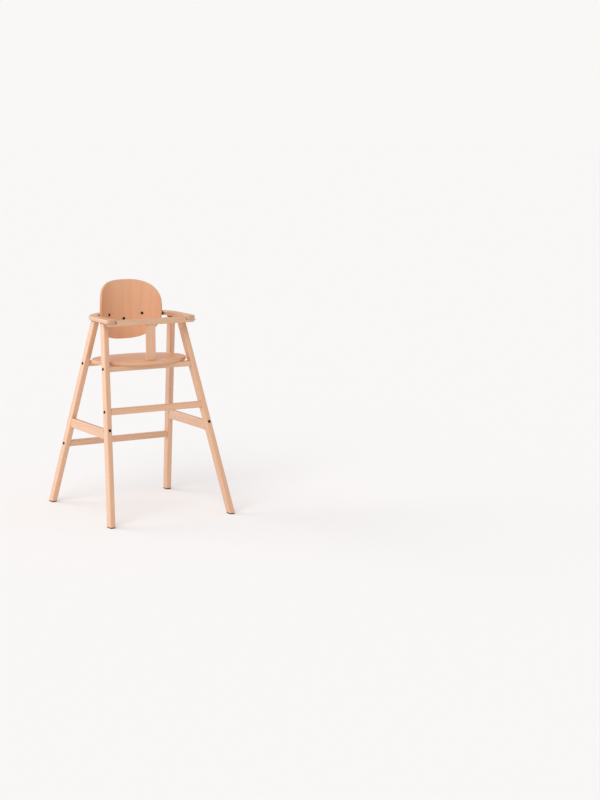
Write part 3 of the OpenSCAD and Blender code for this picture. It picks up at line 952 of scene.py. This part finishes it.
def make_safety_bar():
    size = sizes()
    node = "safety_bar"
    low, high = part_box(node)
    middle = (low + high) / 2
    axes = Axes(middle, (0, 1, 0), (0, 0, 1), (1, 0, 0))
    top, under = size.bar_top_edge, size.rail_edge
    planes = [(low, Vector((-1, 0, 0))), (high, Vector((1, 0, 0)))]
    piece = straight_bar(
        node + "_beech",
        axes,
        high.y - low.y,
        high.z - low.z,
        [top, top, under, under],
        planes,
        0.2 * MM,
    )
    arm_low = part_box("armrest_left")[0].z
    gap = 0.3 * MM
    tongue_top = arm_low - gap
    shoulder = size.arm_inner - 0.7 * MM
    bevel_length = 12 * MM
    slope = (tongue_top - low.z) / bevel_length
    cutters = []
    front = Axes((0, low.y - PAST, 0), (1, 0, 0), (0, 0, 1), (0, 1, 0))
    deep = high.y - low.y + 2 * PAST
    past_x, past_z = high.x + PAST, high.z + PAST
    for sx in (-1, 1):
        block = [
            (sx * shoulder, tongue_top),
            (sx * past_x, tongue_top),
            (sx * past_x, past_z),
            (sx * shoulder, past_z),
        ]
        cutters.append(prism("shoulder", front, block, 0, deep))
        wedge = [
            (sx * (high.x - bevel_length), low.z),
            (sx * (high.x - bevel_length), low.z - PAST),
            (sx * past_x, low.z - PAST),
            (sx * past_x, low.z + slope * (bevel_length + PAST)),
        ]
        cutters.append(prism("bevel", front, wedge, 0, deep))
    plan = Axes((0, 0, 0), (1, 0, 0), (0, 1, 0), UP)
    for seat, _, _ in bolt_places("bar_screws"):
        # a slot for the shank right through the tongue, and a wider one below for the head
        for radius, top in ((3.4 * MM, tongue_top + MM), (5.9 * MM, seat.z + gap)):
            slot = arc((seat.x, seat.y), radius, 180, 360, 16)
            slot += [(seat.x + radius, high.y + PAST), (seat.x - radius, high.y + PAST)]
            cutters.append(prism("slot", plan, slot, low.z - PAST, top))
    cut(piece, cutters)
    bevel = piece.modifiers.new("bevel", "BEVEL")
    bevel.width = 0.6 * MM
    bevel.segments = 2
    bevel.limit_method = "ANGLE"
    bevel.angle_limit = math.radians(40)
    settle(piece)
    smooth(piece)
    set_grain(piece, axes_grain(axes), lambda point: axes.along)
    finish_piece(piece, "oiled_solid_beech", "bar", "beech", node)


def make_crotch_post():
    size = sizes()
    node = "crotch_post"
    low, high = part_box(node)
    middle = (low + high) / 2
    axes = Axes(middle, (1, 0, 0), (0, 1, 0), UP)
    piece = straight_bar(
        node + "_beech",
        axes,
        high.x - low.x,
        high.y - low.y,
        [size.rail_edge] * 4,
        [(low, -UP), (high, UP)],
        size.end_edge,
    )
    smooth(piece)
    set_grain(piece, axes_grain(axes), lambda point: axes.along)
    finish_piece(piece, "oiled_solid_beech", "bar", "beech", node)


# ---------- bolts ----------


def bolt_mesh(name, length):
    """A button-head bolt, its head on z = 0 and facing up, with a six-sided socket."""
    turns = 48
    head, high, shank, socket, deep = 5.5 * MM, 3.2 * MM, 3 * MM, 2.1 * MM, 1.9 * MM
    rim, crown = 1.0 * MM, 2.8 * MM
    flat = socket * math.cos(math.pi / 6)
    ring_plan = [
        (shank, -length),
        (shank, 0.0),
        (head - 0.3 * MM, 0.0),
        (head, 0.4 * MM),
        (head, rim),
    ]
    dome_steps, dome_turn = 6, math.pi / 2 * 0.8
    for i in range(1, dome_steps + 1):
        a = dome_turn * i / dome_steps
        rise = (high - rim) * math.sin(a) / math.sin(dome_turn)
        ring_plan.append((crown + (head - crown) * math.cos(a), rim + rise))
    rings = []
    for radius, z in ring_plan:
        rings.append([(radius, z)] * turns)
    points = []
    for ring in rings:
        for i, (radius, z) in enumerate(ring):
            a = 2 * math.pi * i / turns
            points.append((radius * math.cos(a), radius * math.sin(a), z))
    for grow, z in ((0.25 * MM, high), (0.0, high - 0.2 * MM), (0.0, high - deep)):
        for i in range(turns):
            a = 2 * math.pi * i / turns
            away = (a + math.pi / 6) % (math.pi / 3) - math.pi / 6
            radius = (flat + grow) / math.cos(away)
            points.append((radius * math.cos(a), radius * math.sin(a), z))
    total = len(points) // turns
    points.append((0, 0, high - deep - 0.4 * MM))
    faces = [tuple(range(turns))]
    for r in range(total - 1):
        for i in range(turns):
            j = (i + 1) % turns
            faces.append((r * turns + i, r * turns + j, (r + 1) * turns + j, (r + 1) * turns + i))
    last = (total - 1) * turns
    for i in range(turns):
        faces.append((last + i, last + (i + 1) % turns, len(points) - 1))
    return new_piece(name, points, faces)


def bolt_tree():
    """A node tree that sets one bolt on each point, facing as the point says, turned at random."""
    tree = bpy.data.node_groups.new("Set Bolts", "GeometryNodeTree")
    inputs = {"Places": "Geometry", "Bolt": "Object", "Seed": "Int", "Finish": "Material"}
    for name, kind in inputs.items():
        tree.interface.new_socket(name, in_out="INPUT", socket_type="NodeSocket" + kind)
    tree.interface.new_socket("Bolts", in_out="OUTPUT", socket_type="NodeSocketGeometry")
    given = add_node(tree, "NodeGroupInput").outputs
    facing = add_node(
        tree,
        "GeometryNodeInputNamedAttribute",
        {"Name": "facing"},
        data_type="FLOAT_VECTOR",
    )
    aligned = add_node(
        tree,
        "FunctionNodeAlignRotationToVector",
        {"Vector": facing.outputs["Attribute"]},
        axis="Z",
    )
    turn = add_node(
        tree,
        "FunctionNodeRandomValue",
        {"Min": (0, 0, 0), "Max": (0, 0, math.tau), "Seed": given["Seed"]},
        data_type="FLOAT_VECTOR",
    )
    turned = add_node(
        tree,
        "FunctionNodeRotateRotation",
        {"Rotation": aligned.outputs[0], "Rotate By": turn.outputs["Value"]},
        rotation_space="LOCAL",
    )
    bolt = add_node(tree, "GeometryNodeObjectInfo", {"Object": given["Bolt"]})
    placed = add_node(
        tree,
        "GeometryNodeInstanceOnPoints",
        {
            "Points": given["Places"],
            "Instance": bolt.outputs["Geometry"],
            "Rotation": turned.outputs[0],
        },
    )
    real = add_node(tree, "GeometryNodeRealizeInstances", {"Geometry": placed.outputs[0]})
    finished = add_node(
        tree,
        "GeometryNodeSetMaterial",
        {"Geometry": real.outputs[0], "Material": given["Finish"]},
    )
    add_node(tree, "NodeGroupOutput", {"Bolts": finished.outputs[0]})
    return tree


def make_bolts(node, seed):
    """Replaces a CAD node's bolts with detailed ones in the same places."""
    places = bolt_places(node)
    mesh = bpy.data.meshes.new(node + "_steel")
    mesh.from_pydata([tuple(seat) for seat, _, _ in places], [], [])
    facing = mesh.attributes.new("facing", "FLOAT_VECTOR", "POINT")
    facing.data.foreach_set("vector", [c for place in places for c in place[1]])
    piece = bpy.data.objects.new(node + "_steel", mesh)
    bpy.context.scene.collection.objects.link(piece)
    bolt = bolt_mesh("one_bolt", places[0][2])
    smooth(bolt, math.radians(30))
    tree = bpy.data.node_groups.get("Set Bolts") or bolt_tree()
    setter = piece.modifiers.new("bolts", "NODES")
    setter.node_group = tree
    values = {
        "Bolt": bolt,
        "Seed": seed,
        "Finish": bpy.data.materials["black_oxide_steel"],
    }
    for item in tree.interface.items_tree:
        if item.name in values:
            setter[item.identifier] = values[item.name]
    settle(piece)
    bpy.data.objects.remove(bolt)
    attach(piece, "chair")
    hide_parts(node)


# ---------- operators ----------


class CHAIR_OT_materials(bpy.types.Operator):
    """Make the beech, plywood, steel, nylon and rubber"""

    bl_idname = "chair.materials"
    bl_label = "Materials"

    def execute(self, context):
        make_materials()
        return {"FINISHED"}


class CHAIR_OT_legs(bpy.types.Operator):
    """Make the four leaning legs"""

    bl_idname = "chair.legs"
    bl_label = "Legs"

    def execute(self, context):
        for sx in (-1, 1):
            for sy in (-1, 1):
                make_leg(sx, sy)
        return {"FINISHED"}


class CHAIR_OT_rails(bpy.types.Operator):
    """Make the seat rails, footrest, rear rail and side rails"""

    bl_idname = "chair.rails"
    bl_label = "Rails"

    def execute(self, context):
        make_cross_rail("seat_rail_front", -1)
        make_cross_rail("seat_rail_rear", 1)
        make_cross_rail("footrest_rail", -1)
        make_cross_rail("rear_cross_rail", 1)
        for side in SIDES:
            make_side_rail(side)
        return {"FINISHED"}


class CHAIR_OT_armrests(bpy.types.Operator):
    """Make the two curved armrests and the tie that joins them"""

    bl_idname = "chair.armrests"
    bl_label = "Armrests"

    def execute(self, context):
        for side in SIDES:
            make_armrest(side)
        make_back_tie()
        return {"FINISHED"}


class CHAIR_OT_backrest(bpy.types.Operator):
    """Make the moulded backrest"""

    bl_idname = "chair.backrest"
    bl_label = "Backrest"

    def execute(self, context):
        make_backrest()
        return {"FINISHED"}


class CHAIR_OT_seat(bpy.types.Operator):
    """Make the oval seat"""

    bl_idname = "chair.seat"
    bl_label = "Seat"

    def execute(self, context):
        make_seat()
        return {"FINISHED"}


class CHAIR_OT_bar(bpy.types.Operator):
    """Make the safety bar and its crotch post"""

    bl_idname = "chair.bar"
    bl_label = "Safety Bar"

    def execute(self, context):
        make_safety_bar()
        make_crotch_post()
        return {"FINISHED"}


class CHAIR_OT_bolts(bpy.types.Operator):
    """Set the black bolts"""

    bl_idname = "chair.bolts"
    bl_label = "Bolts"

    def execute(self, context):
        for seed, node in enumerate(("cross_bolts", "side_bolts", "back_bolts", "bar_screws")):
            make_bolts(node, seed)
        return {"FINISHED"}


class CHAIR_OT_fittings(bpy.types.Operator):
    """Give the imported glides, pads, dowels and small steel parts their materials"""

    bl_idname = "chair.fittings"
    bl_label = "Fittings"

    def execute(self, context):
        finish_of = {
            "moulded_nylon": [f"glide_{end}_{side}" for end in ENDS for side in SIDES],
            # these black rubber parts also stand for the shade in the gaps where they sit: painted
            # shade
            "cut_rubber": ["arm_pads", "back_spacers", "back_bumpers"],
            "turned_beech_dowel": ["post_dowels", "rail_dowels", "arm_dowels"],
            "zinc_plated_steel": [
                "barrel_nuts",
                "threaded_inserts",
                "tie_screws",
                "seat_screws",
                "glide_pins",
            ],
        }
        for material, nodes in finish_of.items():
            for node in nodes:
                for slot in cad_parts[node].material_slots:
                    slot.material = bpy.data.materials[material]
        return {"FINISHED"}


class CHAIR_OT_studio(bpy.types.Operator):
    """Set up the floor, the light and the camera"""

    bl_idname = "chair.studio"
    bl_label = "Studio"

    def execute(self, context):
        make_floor()
        make_light()
        make_camera()
        return {"FINISHED"}


# ---------- studio ----------


def make_floor():
    """A plain pale floor that runs out of sight."""
    radius, sides = 60, 60
    rim = arc((0, 0), radius, 0, 360 - 360 / sides, sides - 1)
    floor = new_piece("studio_floor", [(x, y, 0.0) for x, y in rim], [tuple(range(sides))])
    floor.data.materials.append(bpy.data.materials["matt_studio_floor"])
    floor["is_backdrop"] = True


def make_light():
    """A white room, a large soft light behind the child's right side and a weaker one in front."""
    world = bpy.data.worlds.new("studio")
    bpy.context.scene.world = world
    world.use_nodes = True
    tree = world.node_tree
    tree.nodes.clear()
    room = add_node(
        tree, "ShaderNodeBackground", {"Color": (1.0, 0.985, 0.97, 1), "Strength": 0.67}
    ).outputs[0]
    backdrop = add_node(
        tree, "ShaderNodeBackground", {"Color": (*hex_colour("FAF8F6"), 1), "Strength": 1.0}
    ).outputs[0]
    seen = add_node(tree, "ShaderNodeLightPath").outputs["Is Camera Ray"]
    mixed = add_node(tree, "ShaderNodeMixShader", {0: seen, 1: room, 2: backdrop})
    add_node(tree, "ShaderNodeOutputWorld", {"Surface": mixed.outputs[0]})
    for name, energy, width, towards in (
        ("soft_key", 1.35, 50, (-0.62, 0.72, 0.31)),
        ("soft_fill", 1.15, 40, (-0.62, -0.52, 0.6)),
    ):
        lamp = bpy.data.lights.new(name, "SUN")
        lamp.energy = energy
        lamp.angle = math.radians(width)
        lamp.color = (1.0, 0.985, 0.97)
        light = bpy.data.objects.new(name, lamp)
        bpy.context.scene.collection.objects.link(light)
        light.rotation_mode = "QUATERNION"
        light.rotation_quaternion = Vector(towards).to_track_quat("Z", "Y")
    bpy.context.scene.view_settings.view_transform = "Standard"


def make_camera():
    """A long lens at the height of a standing adult, to the left of the chair's front."""
    camera = bpy.data.cameras.new("camera")
    camera.lens = 86.65
    camera.sensor_width = 36
    camera.clip_end = 200
    eye = bpy.data.objects.new("camera", camera)
    bpy.context.scene.collection.objects.link(eye)
    eye.location = (-3.190, -6.744, 1.597)
    eye.rotation_euler = (math.pi / 2 - 0.156, 0, -0.5262)
    bpy.context.scene.camera = eye


OPERATORS = (
    CHAIR_OT_materials,
    CHAIR_OT_legs,
    CHAIR_OT_rails,
    CHAIR_OT_armrests,
    CHAIR_OT_backrest,
    CHAIR_OT_seat,
    CHAIR_OT_bar,
    CHAIR_OT_bolts,
    CHAIR_OT_fittings,
    CHAIR_OT_studio,
)


class CHAIR_PT_panel(bpy.types.Panel):
    """Lists the pieces of the chair"""

    bl_idname = "CHAIR_PT_panel"
    bl_label = "Baby High Chair"
    bl_space_type = "VIEW_3D"
    bl_region_type = "UI"
    bl_category = "High Chair"

    def draw(self, context):
        for operator in OPERATORS:
            self.layout.operator(operator.bl_idname)
        for group in (context.scene.chair_sizes, context.scene.chair_finishes):
            for name in group.__annotations__:
                self.layout.prop(group, name)


CLASSES = (ChairSizes, ChairFinishes, *OPERATORS, CHAIR_PT_panel)


def register():
    for one in CLASSES:
        bpy.utils.register_class(one)
    bpy.types.Scene.chair_sizes = bpy.props.PointerProperty(type=ChairSizes)
    bpy.types.Scene.chair_finishes = bpy.props.PointerProperty(type=ChairFinishes)


def unregister():
    del bpy.types.Scene.chair_sizes
    del bpy.types.Scene.chair_finishes
    for one in reversed(CLASSES):
        bpy.utils.unregister_class(one)


def main():
    random.seed(7)
    register()
    for operator in OPERATORS:
        group, name = operator.bl_idname.split(".")
        getattr(getattr(bpy.ops, group), name)()
    boxes = {"cad": CAD_BOX, "visual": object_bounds()}
    {name: [list(corner) for corner in box] for name, box in boxes.items()}


if __name__ == "__main__":
    main()
